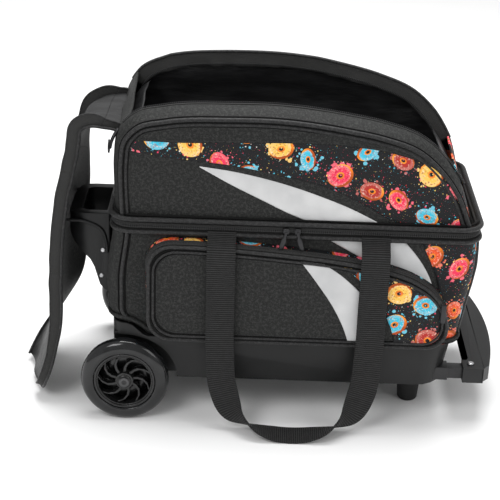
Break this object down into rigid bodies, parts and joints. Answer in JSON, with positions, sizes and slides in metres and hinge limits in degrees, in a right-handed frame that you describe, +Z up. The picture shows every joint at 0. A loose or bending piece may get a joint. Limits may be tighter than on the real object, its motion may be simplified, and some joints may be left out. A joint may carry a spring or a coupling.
{
  "type": "bowling ball bag",
  "caption": "Wheeled bowling ball bag: moulded tray, padded ball bay, tip-back shoe compartment with long lid, webbing loops, telescoping pull handle and grab handle.",
  "frame": {"origin": "centre of the bounding box in plan, on the floor that the wheels and feet stand on", "axes": "+X along the bag from the wheel end to the pull-handle end, +Y towards the rear, +Z up"},
  "size_m": [0.6954, 0.41, 0.4841],
  "materials": {
    "tray_plastic": "dark grey moulded plastic with a fine grain",
    "handle_plastic": "dark grey moulded plastic, satin",
    "urethane": "smoky clear urethane, polished",
    "hub_plastic": "black moulded plastic, satin gloss",
    "steel": "plain steel",
    "black_tube": "black anodised tube",
    "rubber": "black moulded foot",
    "foam": "foam covered in plain black cloth",
    "lining": "coated nylon lining, slight sheen",
    "body_fabric": "coarse black polyester weave",
    "printed_fabric": "black polyester printed with splashed ring cakes",
    "silver_fabric": "silver coated cloth",
    "webbing": "ribbed black webbing and binding",
    "thread": "silver grey embroidery thread",
    "zip_metal": "black painted zip slider and pull"
  },
  "bodies": {
    "chassis": {"base_tray": "tray_plastic", "axle": "steel", "axle_clip_front": "tray_plastic", "axle_clip_rear": "tray_plastic", "foot_front": "rubber", "foot_rear": "rubber", "guide_tube_front": "black_tube", "guide_tube_rear": "black_tube", "ball_cup_left": "foam", "ball_cup_right": "foam", "ball_divider": "foam", "lower_front_panel": "body_fabric", "lower_rear_panel": "body_fabric", "left_end_panel": "body_fabric", "right_end_panel": "printed_fabric", "waist_band_lower": "webbing", "pocket_face": "body_fabric", "pocket_gusset": "printed_fabric", "strap_tab_left": "webbing", "strap_tab_right": "webbing", "grab_handle": "handle_plastic", "handle_screw_front_upper": "steel", "handle_screw_front_lower": "steel", "handle_screw_rear_upper": "steel", "handle_screw_rear_lower": "steel"},
    "wheel_front": {"tyre_front": "urethane", "hub_front": "hub_plastic", "bearing_front": "steel"},
    "wheel_rear": {"tyre_rear": "urethane", "hub_rear": "hub_plastic", "bearing_rear": "steel"},
    "pull_handle": {"inner_tube_front": "black_tube", "inner_tube_rear": "black_tube", "grip_inner_shell": "handle_plastic", "grip_outer_shell": "handle_plastic", "grip_screw_front": "steel", "grip_screw_rear": "steel"},
    "button": {"release_button": "handle_plastic"},
    "upper_bag": {"upper_front_panel": "body_fabric", "upper_rear_panel": "body_fabric", "front_zip_strip": "lining", "rear_zip_strip": "lining", "upper_left_gusset": "body_fabric", "upper_right_gusset": "printed_fabric", "compartment_floor": "lining", "waist_band_upper": "webbing"},
    "lid_1": {"lid_length_1": "body_fabric"},
    "lid_2": {"lid_length_2": "body_fabric"},
    "lid_3": {"lid_length_3": "body_fabric"},
    "lid_4": {"lid_length_4": "body_fabric"},
    "carry_front": {"carry_strap_front": "webbing"},
    "carry_rear": {"carry_strap_rear": "webbing"},
    "waist_zip_left": {"waist_slider_left": "zip_metal"},
    "waist_zip_right": {"waist_slider_right": "zip_metal"},
    "pocket_zip": {"pocket_slider": "zip_metal"},
    "shoe_zip": {"shoe_zip_pull": "zip_metal"}
  },
  "joints": [
    {"name": "wheel_front_spin", "type": "hinge", "parent": "chassis", "child": "wheel_front", "pos_m": [-0.1943, -0.142, 0.0635], "axis": [0, 1, 0], "continuous": true},
    {"name": "wheel_rear_spin", "type": "hinge", "parent": "chassis", "child": "wheel_rear", "pos_m": [-0.1943, 0.142, 0.0635], "axis": [0, 1, 0], "continuous": true},
    {"name": "pull_handle_slide", "type": "slide", "parent": "chassis", "child": "pull_handle", "axis": [1, 0, 0], "range_m": [0, 0.33]},
    {"name": "release_button_press", "type": "slide", "parent": "pull_handle", "child": "button", "axis": [1, 0, 0], "range_m": [0, 0.003], "stiffness_N_per_m": 400},
    {"name": "upper_bag_tip", "type": "hinge", "parent": "chassis", "child": "upper_bag", "pos_m": [0.0377, 0.1346, 0.3003], "axis": [-1, 0, 0], "range_deg": [0, 85]},
    {"name": "lid_root", "type": "hinge", "parent": "upper_bag", "child": "lid_1", "pos_m": [-0.2053, 0, 0.425], "axis": [0, 1, 0], "range_deg": [0, 127.3]},
    {"name": "lid_fold_1", "type": "hinge", "parent": "lid_1", "child": "lid_2", "pos_m": [-0.26327, 0, 0.43701], "axis": [0, 1, 0], "range_deg": [0, 129]},
    {"name": "lid_fold_2", "type": "hinge", "parent": "lid_2", "child": "lid_3", "pos_m": [-0.29342, 0, 0.28191], "axis": [0, 1, 0], "range_deg": [0, 18]},
    {"name": "lid_fold_3", "type": "hinge", "parent": "lid_3", "child": "lid_4", "pos_m": [-0.30306, 0, 0.1242], "axis": [0, 1, 0], "range_deg": [0, 9.5]},
    {"name": "carry_front_swing", "type": "hinge", "parent": "chassis", "child": "carry_front", "pos_m": [0.0377, -0.1604, 0.2701], "axis": [-1, 0, 0], "range_deg": [0, 170]},
    {"name": "carry_rear_swing", "type": "hinge", "parent": "chassis", "child": "carry_rear", "pos_m": [0.0377, 0.1395, 0.292], "axis": [-1, 0, 0], "range_deg": [-170, 0]},
    {"name": "waist_zip_left_run", "type": "slide", "parent": "chassis", "child": "waist_zip_left", "axis": [-1, 0, 0], "range_m": [0, 0.06]},
    {"name": "waist_zip_right_run", "type": "slide", "parent": "chassis", "child": "waist_zip_right", "axis": [1, 0, 0], "range_m": [0, 0.08]},
    {"name": "pocket_zip_run", "type": "slide", "parent": "chassis", "child": "pocket_zip", "axis": [0, 0, -1], "range_m": [0, 0.03]},
    {"name": "shoe_zip_pull_swing", "type": "hinge", "parent": "upper_bag", "child": "shoe_zip", "pos_m": [-0.2188, -0.101, 0.414], "axis": [0, 1, 0], "range_deg": [-5, 60]}
  ],
  "couplings": [
    {"joint": "lid_fold_1", "follows": "lid_root", "ratio": 1.011},
    {"joint": "lid_fold_2", "follows": "lid_root", "ratio": 0.1375},
    {"joint": "lid_fold_3", "follows": "lid_root", "ratio": 0.0723}
  ]
}
